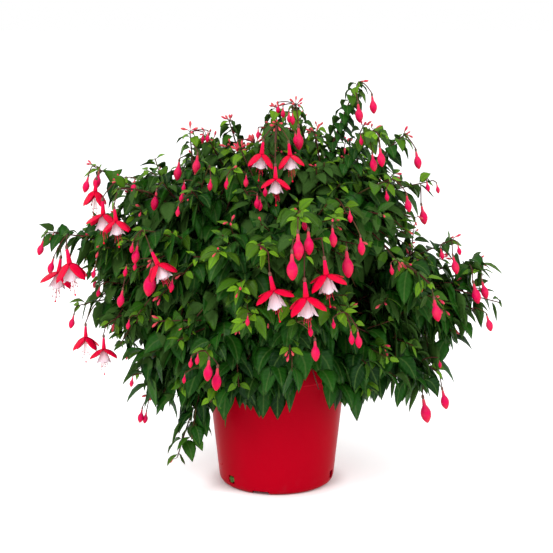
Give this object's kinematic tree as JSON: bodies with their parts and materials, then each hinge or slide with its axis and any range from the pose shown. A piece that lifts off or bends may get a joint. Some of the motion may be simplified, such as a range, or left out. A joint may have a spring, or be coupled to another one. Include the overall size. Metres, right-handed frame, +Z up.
{
  "type": "potted fuchsia plant",
  "caption": "Bushy small-flowered fuchsia with red and white hanging flowers, in a plain red nursery pot that stands on a patio or table.",
  "frame": {"origin": "centre of the pot's underside, on the flat pad that is level with its foot ring", "axes": "+Z up along the pot's axis, -Y towards the viewer of the picture, +X to the viewer's right"},
  "size_m": [0.4491, 0.3954, 0.3964],
  "materials": {
    "pot_plastic": "satin",
    "potting_soil": "matte",
    "bark": "matte",
    "foliage": "satin",
    "petals_red": "satin",
    "petals_white": "satin"
  },
  "bodies": {
    "root": {"pot": "pot_plastic", "potting_soil": "potting_soil", "trunk": "bark", "leafy_stem_left_top": "foliage", "leafy_stem_left_arm": "foliage", "leafy_stem_left_shoulder": "foliage", "leafy_stem_crown_left": "foliage", "leafy_stem_crown_middle": "foliage", "leafy_stem_crown_tall": "foliage", "leafy_stem_crown_right": "foliage", "leafy_stem_right_shoulder": "foliage", "leafy_stem_right_arm": "foliage", "leafy_stem_right_far": "foliage", "leafy_stem_right_low": "foliage", "leafy_stem_front_right_low": "foliage", "leafy_stem_front_upper": "foliage", "leafy_stem_front_left": "foliage", "leafy_stem_front_middle": "foliage", "leafy_stem_left_face": "foliage", "leafy_stem_front_low": "foliage", "leafy_stem_trailing": "foliage", "leafy_stem_left_low": "foliage", "leafy_stem_left_far": "foliage", "leafy_stem_back_left": "foliage", "leafy_stem_back_middle": "foliage", "leafy_stem_back_right": "foliage", "leafy_stem_back_right_low": "foliage", "leafy_stem_back_low": "foliage", "bloom_crown_centre_red": "petals_red", "bloom_crown_centre_white": "petals_white", "bloom_crown_left_red": "petals_red", "bloom_crown_left_white": "petals_white", "bloom_crown_right_red": "petals_red", "bloom_crown_right_white": "petals_white", "bloom_front_left_red": "petals_red", "bloom_front_left_white": "petals_white", "bloom_front_centre_red": "petals_red", "bloom_front_centre_white": "petals_white", "bloom_front_right_red": "petals_red", "bloom_front_right_white": "petals_white", "bloom_side_facing_red": "petals_red", "bloom_side_facing_white": "petals_white", "bloom_left_upper_red": "petals_red", "bloom_left_second_red": "petals_red", "bloom_left_second_white": "petals_white", "bloom_left_third_red": "petals_red", "bloom_left_third_white": "petals_white", "bloom_arm_outer_red": "petals_red", "bloom_arm_outer_white": "petals_white", "bloom_arm_inner_red": "petals_red", "bloom_arm_inner_white": "petals_white", "bloom_left_lower_red": "petals_red", "bloom_left_lowest_red": "petals_red", "bloom_left_lowest_white": "petals_white", "bloom_back_upper_red": "petals_red", "bloom_back_upper_white": "petals_white", "bloom_back_centre_red": "petals_red", "bloom_back_centre_white": "petals_white", "bloom_back_side_red": "petals_red", "bloom_back_side_white": "petals_white"}
  },
  "joints": []
}
